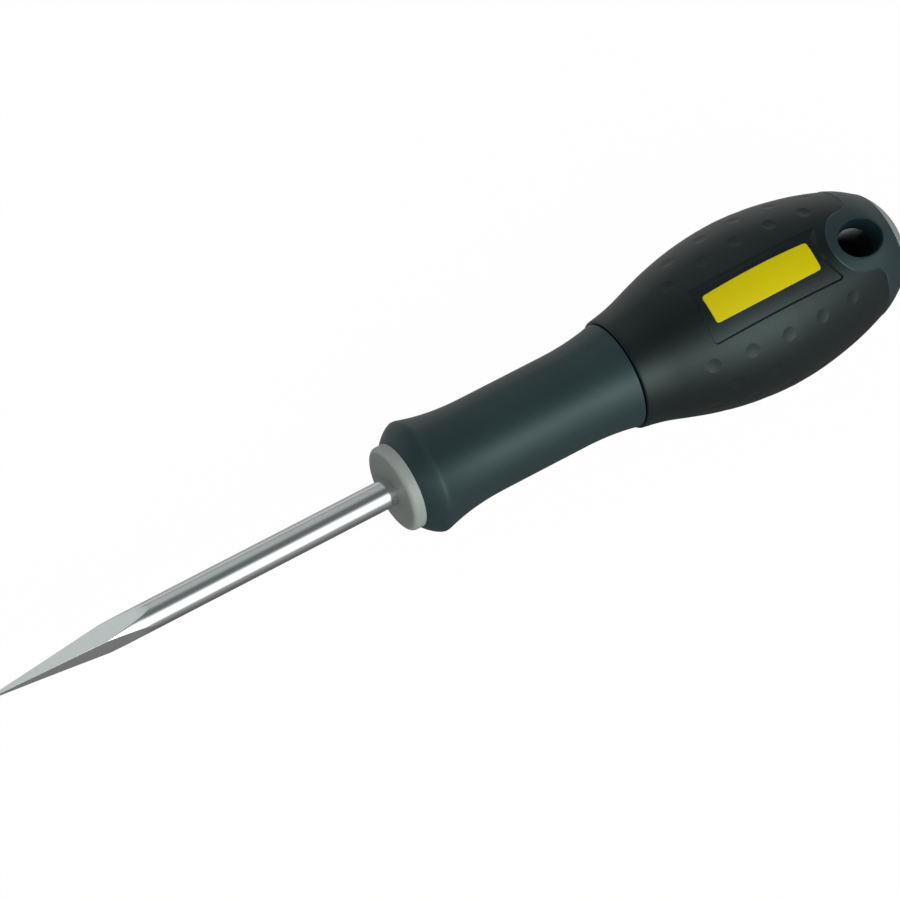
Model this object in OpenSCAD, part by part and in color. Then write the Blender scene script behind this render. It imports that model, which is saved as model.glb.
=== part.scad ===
// Bradawl: a round steel blade with a four-sided point, set in a moulded handle.
// The tool lies along X with its point toward -X. The origin is on the axis, at the
// front face of the grey collar. +Z is the side that carries the label and faces up.

/* [Blade] */
// Diameter of the round shank
shank_d = 5; // [4:0.1:7]
// Length of steel in front of the collar, out to the point
blade_reach = 78.3; // [60:0.1:110]
// Length of the four ground flats, from the point to where they run out
point_len = 31.4; // [20:0.1:45]
// Width across the flats at the very tip
tip_w = 0.1; // [0.1:0.05:0.8]
// Turn of the ground corners about the axis, away from the label
point_turn = 21.1; // [0:0.1:45]
// Diameter of the tang inside the handle
tang_d = 4.4; // [3:0.1:4.8]
// Length of the tang behind the collar's face
tang_len = 42; // [34:0.5:50]
// Width across the two wings that stop the tang from turning
wing_w = 9; // [6:0.1:10]
// Thickness of the wings
wing_t = 2; // [1:0.1:3]
// Length of the wings, their sloping ends included
wing_len = 13; // [8:0.5:18]

/* [Core] */
// Diameter of the collar that shows round the blade
collar_d = 15.3; // [14:0.1:16.4]
// Thickness of the collar that shows
collar_len = 2; // [1.5:0.1:3]
// Rounding of the collar's front edge
collar_round = 0.8; // [0.2:0.1:1.2]
// Diameter of the core inside the neck
stem_d = 12; // [11:0.1:13.5]
// Diameter of the core inside the grip
core_d = 15.3; // [14.5:0.1:16]
// Diameter of the cap that closes the butt
cap_d = 18.1; // [17:0.1:19.5]
// Depth of the cap's straight rim, sunk in the shell
cap_rim = 2.2; // [1:0.1:4]
// Diameter of the round bore for hanging the tool up
bore_d = 6.3; // [5:0.1:6.8]
// Number of ribs that lock the core in the shell
rib_count = 4; // [2:1:6]
// Width of each rib
rib_w = 2.4; // [1:0.1:3]
// Height of each rib above the core
rib_h = 0.9; // [0.4:0.1:1.2]
// Length of each rib
rib_len = 20; // [10:1:24]

/* [Handle] */
// Length of the handle, from the collar's face to the end of the cap
handle_len = 102.4; // [96:0.1:125]
// Length from the collar's face to the seam between neck and grip
neck_len = 44.3; // [40:0.1:48]
// Diameter of the crest behind the collar
rim_d = 20.4; // [19:0.1:22]
// Distance from the collar's face to that crest
rim_at = 5.3; // [4.5:0.1:7]
// Width of the rounding on that crest
rim_round = 0.9; // [0.4:0.1:1.4]
// Diameter of the slim part of the neck
waist_d = 17; // [16:0.1:18.5]
// Diameter of the neck where it meets the grip
seam_d = 19.2; // [18.6:0.1:19.8]
// Largest diameter of the grip
belly_d = 31.2; // [29:0.1:36]
// Distance from the end of the cap to the largest diameter
belly_at = 29.2; // [26.5:0.1:31.5]
// How far the cap stands out behind the shell
cap_rise = 3.85; // [3:0.05:5]

/* [Soft grip] */
// Thickness of the soft grip
grip_wall = 1.3; // [1:0.1:1.6]
// Diameter of the grip's front lip
lip_d = 20; // [19.7:0.1:21]
// Rounding of that lip
lip_round = 0.5; // [0.2:0.1:0.8]
// Width of the groove between the neck and the grip
seam_gap = 0.35; // [0.2:0.05:0.6]
// Distance from the end of the cap to the grip's rear edge
grip_end = 9; // [7.4:0.1:9.8]
// Radius of the window that the grip leaves round the hanging hole
ring_r = 5.95; // [5.4:0.05:6.6]
// Distance from the end of the cap to the centre of the window's round end
ring_at = 12.2; // [11.4:0.1:12.9]
// Rounding of the grip's lobes beside the window
lobe_r = 2; // [1:0.1:3]
// Diameter of one dimple
dimple_d = 2.6; // [1.5:0.1:3.2]
// Depth of one dimple
dimple_deep = 0.32; // [0.1:0.01:0.5]
// Distance between dimples along a row
dimple_pitch = 7; // [6:0.1:7.2]
// Number of dimples in a row
dimple_count = 5; // [2:1:5]
// Number of rows on each side of the handle
row_count = 6; // [2:1:6]
// Angle between rows
row_turn = 21.5; // [15:0.5:22]
// Distance from the grip's front edge to the first dimple
dimple_at = 12.05; // [9:0.05:13]

/* [Hanging hole] */
// Distance from the end of the cap to the bore
bore_at = 10.8; // [10.4:0.1:11.9]
// Length of the oval mouth, where it opens at the shell's surface
mouth_len = 9.9; // [8:0.1:10.4]
// Width of the oval mouth
mouth_w = 7.2; // [7:0.1:8.4]
// How far the middle of the mouth lies in front of the bore
mouth_at = 0.5; // [0:0.05:1]

/* [Label] */
// Length of the recessed panel, out to its rear corners
panel_len = 26.25; // [20:0.05:28]
// Width of the recessed panel, seen from above
panel_w = 10.5; // [8:0.1:12]
// Width of the land between the panel's hollow rear end and the window
panel_at = 1.65; // [1:0.05:3]
// Depth of the panel
panel_deep = 0.35; // [0.2:0.01:0.6]
// Rounding of the panel's corners
panel_round = 0.8; // [0.3:0.1:2]
// Length of the label plate
label_len = 21.5; // [12:0.1:23]
// Width of the label plate, seen from above
label_w = 5.3; // [4:0.1:7]
// Thickness of the label plate
label_t = 0.25; // [0.1:0.01:0.5]
// Distance from the panel's front end to the label
label_at = 1.6; // [0.5:0.05:4]
// How far the label lies off the middle of the panel, sideways
label_shift = 0.45; // [0:0.05:1]

/* [Hidden] */
$fn = 96;
// Overrun of every cut, and a half size larger than the handle
over = 1;
clear_r = belly_d;
// Spans of straight line in one smoothed stretch of an outline
steps = 3;
// Sweep of the neck from the crest down to the waist, and up again to the seam
front_sweep = 13.2;
rear_sweep = 10.8;
front_power = 2.4;
rear_power = 2.2;
// Where the core widens from the stem, and over what length
core_from = neck_len + seam_gap;
core_step = 6;
// Where the cap meets the shell, and the radius of its dome
cap_at = handle_len - cap_rise;
dome_r = (pow(cap_d / 2, 2) + pow(cap_rise, 2)) / (2 * cap_rise);
// The grip starts behind the groove, and what lies near the butt is measured from there
grip_at = neck_len + seam_gap;
grip_x = handle_len - grip_end;
belly_x = handle_len - belly_at;
bore_x = handle_len - bore_at;
mouth_x = bore_x - mouth_at;
ring_x = handle_len - ring_at;
// The panel's rear corners lie level with the front of the window
panel_x = ring_x - ring_r - panel_len;
// Front and rear of the grip's outline: share of the length, share of the height
front_share = [[0, 0], [0.11, 0.1], [0.2, 0.215], [0.31, 0.395], [0.45, 0.61],
    [0.59, 0.78], [0.73, 0.9], [0.87, 0.973], [1, 1]];
rear_share = [[0, 1], [0.16, 0.97], [0.32, 0.895], [0.475, 0.785], [0.595, 0.675],
    [0.71, 0.542], [0.81, 0.403], [0.91, 0.218], [1, 0]];

// A point on a smooth curve from b to c, where a and d are the points before and after
function blend(a, b, c, d, t) =
    (2 * b + (c - a) * t + (2 * a - 5 * b + 4 * c - d) * t * t + (3 * b - a - 3 * c + d) * t * t * t) / 2;

// A smooth curve through the points p
function smooth(p) = [
    for (i = [0:len(p) - 2], k = [0:steps - 1])
        let (before = i > 0 ? p[i - 1] : 2 * p[0] - p[1],
             after = i < len(p) - 2 ? p[i + 2] : 2 * p[i + 1] - p[i])
        blend(before, p[i], p[i + 1], after, k / steps),
    p[len(p) - 1]
];

// A share table stretched between two places and two radii, as [place, radius]
function stretch(table, from, to, low, high) =
    [for (s = table) [from + s[0] * (to - from), low + s[1] * (high - low)]];

// The grip's outline from its lip to the cap
belly_line = concat(
    smooth(stretch(front_share, grip_at, belly_x, lip_d / 2, belly_d / 2)),
    [for (p = smooth(stretch(rear_share, belly_x, cap_at, cap_d / 2, belly_d / 2))) if (p[0] > belly_x) p]
);

// The neck's outline: bevel, rounded crest, sweep to the waist and flare to the seam
crest_r = rim_d / 2;
waist_r = waist_d / 2;
sweep_steps = 12;
neck_line = concat(
    [[collar_len, collar_d / 2]],
    [for (k = [0:steps]) let (a = 90 * k / steps)
        [rim_at - rim_round * cos(a), crest_r - rim_round * (1 - sin(a)) / 2]],
    [for (k = [1:sweep_steps]) let (u = k / sweep_steps)
        [rim_at + front_sweep * u, waist_r + (crest_r - waist_r) * pow(1 - u, front_power)]],
    [for (k = [0:sweep_steps]) let (u = k / sweep_steps)
        [neck_len - rear_sweep * (1 - u), waist_r + (seam_d / 2 - waist_r) * pow(u, rear_power)]]
);

function belly_r(x) = lookup(x, belly_line);
function belly_slope(x) = atan((belly_r(x + over) - belly_r(x - over)) / (2 * over));

// Turns an outline of [place, radius] points about the X axis
module turned(line) {
    rotate([0, 90, 0])
        rotate_extrude()
            polygon([for (p = line) [p[1], p[0]]]);
}

// Cuts straight down through the handle, with an outline drawn as seen from above
module down(height = 2 * clear_r, base = -clear_r) {
    translate([0, 0, base])
        linear_extrude(height)
            children();
}

module rounded_plate(length, width, r) {
    for (x = [-1, 1], y = [-1, 1])
        translate([x * (length / 2 - r), y * (width / 2 - r)])
            circle(r);
    square([length - 2 * r, width], center = true);
    square([length, width - 2 * r], center = true);
}

// The grip's outline moved in or out by a distance, closed down to the axis
function belly_body(shift) = concat(
    [[grip_at, 0]],
    [for (p = belly_line) [p[0], p[1] + shift]],
    [[cap_at, 0]]
);

// One of two crossed wedges whose flats grind the point
module wedge() {
    mid = point_len - blade_reach;
    side = shank_d / 2;
    rotate([90, 0, 0])
        down()
            polygon([[-blade_reach, -tip_w / 2], [mid, -side], [mid + over, -side - over],
                [tang_len, -side - over], [tang_len, side + over], [mid + over, side + over],
                [mid, side], [-blade_reach, tip_w / 2]]);
}

// The round shank, ground to the four-sided point
module ground_shank() {
    intersection() {
        translate([-blade_reach, 0, 0])
            rotate([0, 90, 0])
                cylinder(h = blade_reach, d = shank_d);
        rotate([point_turn + 45, 0, 0])
            wedge();
        rotate([point_turn - 45, 0, 0])
            wedge();
    }
}

// The tang with its two wings, also cut from the core that is moulded round it
module tang() {
    rotate([0, 90, 0])
        cylinder(h = tang_len, d = tang_d);
    slope = (wing_w - tang_d) / 2;
    start = tang_len - wing_len - slope;
    translate([0, 0, -wing_t / 2])
        linear_extrude(wing_t)
            polygon([[start, -tang_d / 2], [start + slope, -wing_w / 2], [start + wing_len - slope, -wing_w / 2],
                [start + wing_len, -tang_d / 2], [start + wing_len, tang_d / 2],
                [start + wing_len - slope, wing_w / 2], [start + slope, wing_w / 2], [start, tang_d / 2]]);
}

module blade() {
    color([0.78, 0.79, 0.8]) {
        ground_shank();
        tang();
    }
}

// The whole outer form of the core, which the shell is moulded round
module core_form() {
    collar_r = collar_d / 2;
    corner = [for (k = [0:steps]) let (a = 90 * k / steps)
        [collar_round * (1 - sin(a)), collar_r - collar_round * (1 - cos(a))]];
    dome = [for (k = [0:sweep_steps]) let (r = cap_d / 2 * sin(90 * (1 - k / sweep_steps)))
        [handle_len - dome_r + sqrt(dome_r * dome_r - r * r), r]];
    turned(concat(
        [[0, 0]],
        [for (k = [steps:-1:0]) corner[k]],
        [[collar_len, collar_r], [collar_len, stem_d / 2], [core_from, stem_d / 2],
         [core_from + core_step, core_d / 2], [cap_at - cap_rim, core_d / 2], [cap_at - cap_rim, cap_d / 2]],
        dome
    ));
    for (k = [0:rib_count - 1])
        rotate([45 + k * 360 / rib_count, 0, 0])
            translate([core_from + core_step, -rib_w / 2, 0])
                cube([rib_len, rib_w, core_d / 2 + rib_h]);
}

module core() {
    color([0.52, 0.53, 0.51])
        difference() {
            core_form();
            tang();
            translate([bore_x, 0, -clear_r])
                cylinder(h = 2 * clear_r, d = bore_d);
        }
}

// The plan of the window round the hanging hole, open toward the butt
module window_plan() {
    rear = clear_r;
    translate([ring_x, 0])
        circle(ring_r);
    translate([ring_x, -ring_r])
        square([rear, 2 * ring_r]);
    for (side = [0, 1])
        mirror([0, side])
            translate([grip_x - lobe_r, ring_r])
                difference() {
                    translate([0, -over])
                        square([rear, lobe_r + over]);
                    translate([0, lobe_r])
                        circle(lobe_r);
                }
}

// The space that the soft grip fills between the shell and an outer outline
module grip_space(outer) {
    inside = [for (p = belly_line) if (p[0] > grip_at && p[0] < grip_x) [p[0], p[1] - grip_wall]];
    front = [grip_at, belly_r(grip_at) - grip_wall];
    rear = [grip_x, belly_r(grip_x) - grip_wall];
    difference() {
        turned(concat([front], inside, [rear], outer));
        down()
            window_plan();
    }
}

// The mouth of the hanging hole: an oval in the sloping surface, drawn in to the round bore
module mouth() {
    sides = 48;
    seat = sqrt(core_d * core_d - bore_d * bore_d) / 2;
    slope = belly_slope(mouth_x);
    hull() {
        translate([bore_x, 0, seat - over])
            cylinder(h = over, d = bore_d);
        translate([mouth_x, 0, belly_r(mouth_x)])
            rotate([0, -slope, 0])
                linear_extrude(over)
                    polygon([for (k = [0:sides - 1]) let (a = 360 * k / sides)
                        [mouth_len / 2 * cos(a) / cos(slope), mouth_w / 2 * sin(a)]]);
    }
}

module handle_shell() {
    outer = [for (p = belly_line) if (p[0] > grip_at) p];
    color([0.16, 0.22, 0.23])
        difference() {
            turned(concat([[collar_len, 0]], neck_line, [[neck_len, belly_r(grip_at) - grip_wall]],
                [[grip_at, belly_r(grip_at) - grip_wall]], [[grip_at, lip_d / 2]], outer, [[cap_at, 0]]));
            grip_space([[grip_x, clear_r], [grip_at, clear_r]]);
            core_form();
            mouth();
            mirror([0, 0, 1])
                mouth();
        }
}

// Everything above the floor of the recessed panel, whose rear end follows the window
module panel_cut() {
    difference() {
        down(clear_r, 0)
            difference() {
                translate([panel_x + panel_len / 2, 0])
                    rounded_plate(panel_len, panel_w, panel_round);
                translate([ring_x, 0])
                    circle(ring_r + panel_at);
            }
        turned(belly_body(-panel_deep));
    }
}

// One dimple, sunk square to the surface
module dimple(place, turn) {
    ball_r = (pow(dimple_d / 2, 2) + pow(dimple_deep, 2)) / (2 * dimple_deep);
    rotate([turn, 0, 0])
        translate([place, 0, belly_r(place)])
            rotate([0, -belly_slope(place), 0])
                translate([0, 0, ball_r - dimple_deep])
                    sphere(ball_r);
}

// Rows of dimples, every second row moved half a pitch toward the butt
module dimples() {
    for (side = [-1, 1], row = [0:row_count - 1], k = [0:dimple_count - 1]) {
        turn = 90 + row_turn * (row - (row_count - 1) / 2);
        dimple(grip_at + dimple_at + dimple_pitch * (k + (row % 2) / 2), side * turn);
    }
}

module soft_grip() {
    lip = [for (k = [0:steps]) let (a = 90 * k / steps)
        [grip_at + lip_round * (1 - cos(a)), belly_r(grip_at + lip_round) - lip_round * (1 - sin(a))]];
    skin = [for (p = belly_line) if (p[0] > grip_at + lip_round && p[0] < grip_x) p];
    color([0.1, 0.11, 0.11])
        difference() {
            grip_space(concat(
                [[grip_x, belly_r(grip_x)]],
                [for (k = [len(skin) - 1:-1:0]) skin[k]],
                [for (k = [steps:-1:0]) lip[k]]
            ));
            panel_cut();
            dimples();
        }
}

module label_plate() {
    color([0.9, 0.8, 0.05])
        intersection() {
            down(clear_r, 0)
                translate([panel_x + label_at + label_len / 2, label_shift])
                    rounded_plate(label_len, label_w, panel_round);
            difference() {
                turned(belly_body(label_t - panel_deep));
                turned(belly_body(-panel_deep));
            }
        }
}

blade();
core();
handle_shell();
soft_grip();
label_plate();
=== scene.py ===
# Bradawl, dressed for its picture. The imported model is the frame: metres, the tool's axis
# along X with the point toward -X, and the side with the label facing +Z.
import math
import bpy
import bmesh
import numpy as np
from mathutils import Matrix, Vector
from mathutils.geometry import delaunay_2d_cdt
from mathutils.kdtree import KDTree


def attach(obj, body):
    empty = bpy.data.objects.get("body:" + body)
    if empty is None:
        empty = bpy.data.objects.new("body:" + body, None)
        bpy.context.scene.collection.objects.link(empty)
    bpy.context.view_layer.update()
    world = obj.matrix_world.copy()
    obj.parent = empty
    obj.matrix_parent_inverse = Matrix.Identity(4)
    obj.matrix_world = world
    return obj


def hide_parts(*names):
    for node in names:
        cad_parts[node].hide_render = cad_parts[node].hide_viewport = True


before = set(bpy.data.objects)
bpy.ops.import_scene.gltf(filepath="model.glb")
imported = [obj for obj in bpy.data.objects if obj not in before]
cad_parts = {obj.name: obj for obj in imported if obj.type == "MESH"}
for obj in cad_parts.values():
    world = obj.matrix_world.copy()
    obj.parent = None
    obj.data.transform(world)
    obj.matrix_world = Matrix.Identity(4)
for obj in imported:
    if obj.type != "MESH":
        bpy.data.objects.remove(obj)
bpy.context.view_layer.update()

mm = 0.001
print("frame loaded:", ", ".join(sorted(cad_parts)))

# The camera stands where the photograph was taken from; places in millimetres
view = {
    "place": (-230.11, -100.01, 704.17),
    "right": (0.84134, -0.49438, 0.21846),
    "up": (0.43367, 0.85870, 0.27307),
    "back": (-0.32260, -0.13500, 0.93686),
    "lens": 180.0,
    "sensor": 36.0,
    "shift": 0.5 / 900,  # half a pixel, right and down
    "clipEnd": 20.0,  # metres
}


def placeCamera():
    data = bpy.data.cameras.new("camera")
    data.lens = view["lens"]
    data.sensor_width = view["sensor"]
    data.shift_x = -view["shift"]
    data.shift_y = view["shift"]
    data.clip_end = view["clipEnd"]
    camera = bpy.data.objects.new("camera", data)
    columns = [Vector(view[name]).normalized() for name in ("right", "up", "back")]
    turn = Matrix(columns).transposed().to_4x4()
    camera.matrix_world = Matrix.Translation(Vector(view["place"]) * mm) @ turn
    bpy.context.scene.collection.objects.link(camera)
    bpy.context.scene.camera = camera


placeCamera()
print("camera placed")

# Sizes in millimetres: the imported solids' own, apart from roundings and a few tenths after the photograph
handle = {
    "length": 102.4,
    "collarLength": 1.9,
    "collarRadius": 7.65,
    "collarRound": 0.9,
    "collarShoulder": 1.35,
    "collarProud": 0.25,
    "neckLength": 44.5,
    "rimRadius": 10.2,
    "rimAt": 5.45,
    "flarePower": 1.6,
    "crestSoft": 0.52,
    "crestShift": 0.2,
    "crestReach": 1.2,
    "waistRadius": 8.5,
    "seamRadius": 9.6,
    "seamRound": 0.16,
    "gripAt": 44.65,
    "lipRadius": 10.0,
    "lipRound": 0.32,
    "bellyRadius": 15.6,
    "bellyAt": 73.2,
    "gripEnd": 93.15,
    "gripWall": 1.3,
    "capAt": 98.55,
    "capRadius": 9.05,
    "capRim": 2.2,
    "stemRadius": 6.0,
    "coreRadius": 7.65,
    "coreStep": 6.0,
    "frontShares": ((0, 0), (0.11, 0.1), (0.2, 0.215), (0.31, 0.395), (0.45, 0.61),
                    (0.59, 0.78), (0.73, 0.9), (0.87, 0.973), (1, 1)),
    "rearShares": ((0, 1), (0.16, 0.97), (0.32, 0.895), (0.475, 0.785), (0.595, 0.675),
                   (0.71, 0.542), (0.81, 0.403), (0.91, 0.218), (1, 0)),
    "frontSweep": 13.2,
    "rearSweep": 10.8,
    "frontPower": 2.4,
    "rearPower": 2.2,
    "seat": 0.02,  # between the faces of two mouldings
}
spread = 12.2  # millimetres of unrolled surface for one radian round the axis
halfTurn = spread * math.pi / 2
flareSteps = 20
sweepSteps = 60
touch = 1e-4  # millimetres; what is nearer to a line lies on it


def blend(a, b, c, d, t):
    # a smooth curve from b to c, led by the points before and after
    return (2 * b + (c - a) * t + (2 * a - 5 * b + 4 * c - d) * t * t + (3 * b - a - 3 * c + d) * t ** 3) / 2


def smoothLine(points, steps=10):
    p = [np.array(q, float) for q in points]
    out = []
    for i in range(len(p) - 1):
        before = p[i - 1] if i > 0 else 2 * p[0] - p[1]
        after = p[i + 2] if i < len(p) - 2 else 2 * p[i + 1] - p[i]
        out += [blend(before, p[i], p[i + 1], after, k / steps) for k in range(steps)]
    return out + [p[-1]]


def stretch(shares, start, end, low, high):
    # shares of a length and a height become millimetres
    return [(start + s * (end - start), low + h * (high - low)) for s, h in shares]


h = handle
frontPoints = stretch(h["frontShares"], h["gripAt"], h["bellyAt"], h["lipRadius"], h["bellyRadius"])
rearPoints = stretch(h["rearShares"], h["bellyAt"], h["capAt"], h["capRadius"], h["bellyRadius"])
frontLine, rearLine = smoothLine(frontPoints), smoothLine(rearPoints)
bellyLine = np.array(frontLine + rearLine[1:])


def bellyRadius(x):
    return np.interp(x, bellyLine[:, 0], bellyLine[:, 1])


def neckProfile():
    # A convex flare behind the collar, then one hollow from its crest to the waist and one to the seam
    rise = []
    for k in range(flareSteps + 1):
        u = k / flareSteps
        rise.append((h["collarLength"] + (h["rimAt"] - h["collarLength"]) * u,
                     h["rimRadius"] - (h["rimRadius"] - h["collarRadius"]) * (1 - u) ** h["flarePower"]))
    for k in range(1, sweepSteps + 1):
        u = k / sweepSteps
        drop = (h["rimRadius"] - h["waistRadius"]) * (1 - u) ** h["frontPower"]
        rise.append((h["rimAt"] + h["frontSweep"] * u, h["waistRadius"] + drop))
    for k in range(sweepSteps + 1):
        u = k / sweepSteps
        lift = (h["seamRadius"] - h["waistRadius"]) * u ** h["rearPower"]
        rise.append((h["neckLength"] - h["rearSweep"] * (1 - u), h["waistRadius"] + lift))
    return np.array(rise)


neckLine = neckProfile()


def rounding(distance, radius):
    # how far a rounded edge drops at this distance from it
    d = np.clip(distance, 0, radius)
    return radius - np.sqrt(radius ** 2 - (radius - d) ** 2)


def neckRadius(x):
    # the crest behind the collar is softened by a running mean of seven places
    near = 1 - np.abs(x - h["rimAt"] - h["crestShift"]) / h["crestReach"]
    soft = np.clip(near, 0, 1) * h["crestSoft"]
    mean = sum(np.interp(x + soft * k / 3, neckLine[:, 0], neckLine[:, 1]) for k in range(-3, 4)) / 7
    return mean - rounding(h["neckLength"] - x, h["seamRound"])


# The handle's skins are laid out flat: x along the axis, s round it
def toSkin(x, y):
    return x, spread * math.asin(max(-1, min(1, y / float(bellyRadius(x)))))


def resample(points, gap, closed=False):
    p = np.array(points + ([points[0]] if closed else []), float)
    run = np.concatenate([[0], np.cumsum(np.linalg.norm(np.diff(p, axis=0), axis=1))])
    count = max(2, int(round(run[-1] / gap)) + 1)
    at = np.linspace(0, run[-1], count)
    out = np.stack([np.interp(at, run, p[:, 0]), np.interp(at, run, p[:, 1])], 1)
    return out[:-1] if closed else out


def offsetLine(line, distance, closed=False):
    # each point moves sideways, to the right of the line's own direction
    if closed:
        ahead = np.roll(line, -1, 0) - np.roll(line, 1, 0)
    else:
        ahead = np.gradient(line, axis=0)
    ahead /= np.linalg.norm(ahead, axis=1)[:, None]
    return line + distance * np.stack([ahead[:, 1], -ahead[:, 0]], 1)


def distanceTo(line, points, closed=False):
    # worked out in lots, so that the arrays stay small
    lot = 2000
    a = line
    b = np.roll(line, -1, 0) if closed else line[1:]
    a = a if closed else line[:-1]
    span = b - a
    size = np.maximum((span ** 2).sum(1), 1e-12)
    out = np.empty(len(points))
    for i in range(0, len(points), lot):
        p = points[i:i + lot, None, :]
        t = np.clip(((p - a) * span).sum(2) / size, 0, 1)
        out[i:i + lot] = np.sqrt(((a + t[..., None] * span - p) ** 2).sum(2).min(1))
    return out


def insideLoop(loop, points):
    x, y = points[:, 0], points[:, 1]
    out = np.zeros(len(points), bool)
    for (x0, y0), (x1, y1) in zip(loop, np.roll(loop, -1, 0)):
        if y0 == y1:
            continue
        cross = (y0 > y) != (y1 > y)
        out ^= cross & (x < (x1 - x0) * (y - y0) / (y1 - y0) + x0)
    return out


hole = {
    "boreAt": 91.6,
    "boreRadius": 3.15,
    "mouthAt": 91.1,
    "mouthHalfLength": 4.8,
    "mouthHalfWidth": 3.45,
    "mouthRound": 0.3,
    "windowAt": 90.2,
    "windowRadius": 5.95,
    "lobeRadius": 2.0,
    "windowRound": 0.02,
    "lobeLean": 0.5,  # how much earlier the lobe on the +Y side ends
    "leanFrom": 4.0,
    "leanOver": 4.0,
    "leanEnd": 6.0,
    "ringProud": 0.12,
    "ringRise": 0.25,
    "ringFadeTo": 97.5,
    "ringFade": 3.0,
}


def windowLine():
    # The soft grip's rear edge over one half: a lobe, the window round the hanging hole, and a lobe
    w = hole
    plan = []
    lobeX = h["gripEnd"] - w["lobeRadius"]
    lobeY = w["windowRadius"] + w["lobeRadius"]
    steps = 24
    for k in range(steps + 1):
        a = math.radians(90 * k / steps)
        plan.append((lobeX + w["lobeRadius"] * math.cos(a), lobeY - w["lobeRadius"] * math.sin(a)))
    steps *= 2
    for k in range(steps + 1):
        a = math.radians(90 + 90 * k / steps)
        plan.append((w["windowAt"] + w["windowRadius"] * math.cos(a), w["windowRadius"] * math.sin(a)))
    plan += [(x, -y) for x, y in plan[-2::-1]]
    skin = [toSkin(x, y) for x, y in plan]
    line = resample([(h["gripEnd"], halfTurn)] + skin + [(h["gripEnd"], -halfTurn)], 0.3)
    rise = np.clip((line[:, 1] - w["leanFrom"]) / w["leanOver"], 0, 1)
    fall = np.clip((halfTurn - line[:, 1]) / w["leanEnd"], 0, 1)
    line[:, 0] -= w["lobeLean"] * rise * fall
    return line


def mouthLoop(count=96):
    out = []
    for k in range(count):
        a = 2 * math.pi * k / count
        out.append(toSkin(hole["mouthAt"] + hole["mouthHalfLength"] * math.cos(a),
                          hole["mouthHalfWidth"] * math.sin(a)))
    return np.array(out)


def boreLoop(count):
    # where the bore meets the core's side
    out = []
    for k in range(count):
        a = 2 * math.pi * k / count
        y = hole["boreRadius"] * math.sin(a)
        out.append((hole["boreAt"] + hole["boreRadius"] * math.cos(a),
                    spread * math.asin(y / h["coreRadius"])))
    return np.array(out)


def roundedLoop(x0, x1, y0, y1, r, steps=8):
    out = []
    corners = ((x1 - r, y1 - r, 0), (x0 + r, y1 - r, 90), (x0 + r, y0 + r, 180), (x1 - r, y0 + r, 270))
    for cx, cy, start in corners:
        for k in range(steps + 1):
            a = math.radians(start + 90 * k / steps)
            out.append((cx + r * math.cos(a), cy + r * math.sin(a)))
    return out


panel = {
    "front": 58.0,
    "rear": 84.25,
    "halfWidth": 5.25,
    "land": 1.65,
    "round": 0.8,
    "depth": 0.35,
    "wall": 0.18,
    "soften": 6.0,  # how much wider the wall is on the +Y side
    "softFrom": -1.0,
    "softOver": 3.0,
    "planGap": 0.05,  # between the points of its edge before it is laid on the skin, and after
    "edgeGap": 0.25,
}
# Rows of points down the panel's wall, as shares of its width
wallRowShares = (-0.15, 0.0, 0.2, 0.4, 0.6, 0.8, 1.0, 1.2, 1.6, 2.0, 2.5, 3.0, 3.5, 4.0, 4.5, 5.0, 5.5, 6.0,
                 6.5, 7.0, 7.2)


def panelLoop():
    # A rounded rectangle whose rear end keeps clear of the window
    p = panel
    reach = hole["windowRadius"] + p["land"]
    sides = roundedLoop(p["front"], p["rear"], -p["halfWidth"], p["halfWidth"], p["round"])
    sides = [tuple(q) for q in resample(sides, p["planGap"], True)]
    out = []
    for x, y in sides:
        if math.hypot(x - hole["windowAt"], y) < reach:
            x = hole["windowAt"] - math.sqrt(reach ** 2 - y ** 2)
        out.append((x, y))
    return resample([toSkin(x, y) for x, y in out], p["edgeGap"], True)


window = windowLine()
mouth = mouthLoop()
panelEdge = panelLoop()
past = halfTurn + 1
butt = 2 * h["length"]  # well behind the tool
openLoop = np.concatenate([[(h["gripEnd"], past)], window,
                           [(h["gripEnd"], -past), (butt, -past), (butt, past)]])


def triangulate(boundary, holes=(), rings=(), scatter=(), clear=0.3):
    # rings are (points, closed); scattered points keep clear of every line
    sliver = 1e-3  # square millimetres
    lines = [(boundary, True)] + [(loop, True) for loop in holes] + list(rings)
    points, edges = [], []
    for line, closed in lines:
        first = len(points)
        points += [tuple(p) for p in line]
        edges += [(first + k, first + k + 1) for k in range(len(line) - 1)]
        if closed:
            edges.append((first + len(line) - 1, first))
    if len(scatter):
        tree = KDTree(len(points))
        for i, p in enumerate(points):
            tree.insert((p[0], p[1], 0), i)
        tree.balance()
        loose = np.array(scatter, float)
        loose = loose[insideLoop(np.array(boundary), loose)]
        points += [tuple(p) for p in loose if tree.find((p[0], p[1], 0))[2] > clear]
    found = delaunay_2d_cdt([Vector(p) for p in points], edges, [], 0, 1e-5)
    flat = np.array([tuple(p) for p in found[0]])
    faces = np.array([f for f in found[2] if len(f) == 3])
    middle = flat[faces].mean(1)
    keep = insideLoop(np.array(boundary), middle)
    for loop in holes:
        keep &= ~insideLoop(np.array(loop), middle)
    place = {}
    for new, olds in enumerate(found[3]):
        for old in olds:
            place[old] = new
    starts, total = [], 0
    for line, _ in lines:
        starts.append([place[total + k] for k in range(len(line))])
        total += len(line)
    # slivers outside a nearly straight edge have all three corners on it
    a, b, c = (flat[faces[:, k]] for k in range(3))
    area = np.abs((b[:, 0] - a[:, 0]) * (c[:, 1] - a[:, 1]) - (c[:, 0] - a[:, 0]) * (b[:, 1] - a[:, 1])) / 2
    keep &= ~(np.isin(faces, starts[0]).all(1) & (area < sliver))
    return flat, faces[keep], starts


def roll(flat, radius):
    # the flat skin goes back round the axis
    angle = flat[:, 1] / spread
    return np.stack([flat[:, 0], radius * np.sin(angle), radius * np.cos(angle)], 1)


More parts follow.
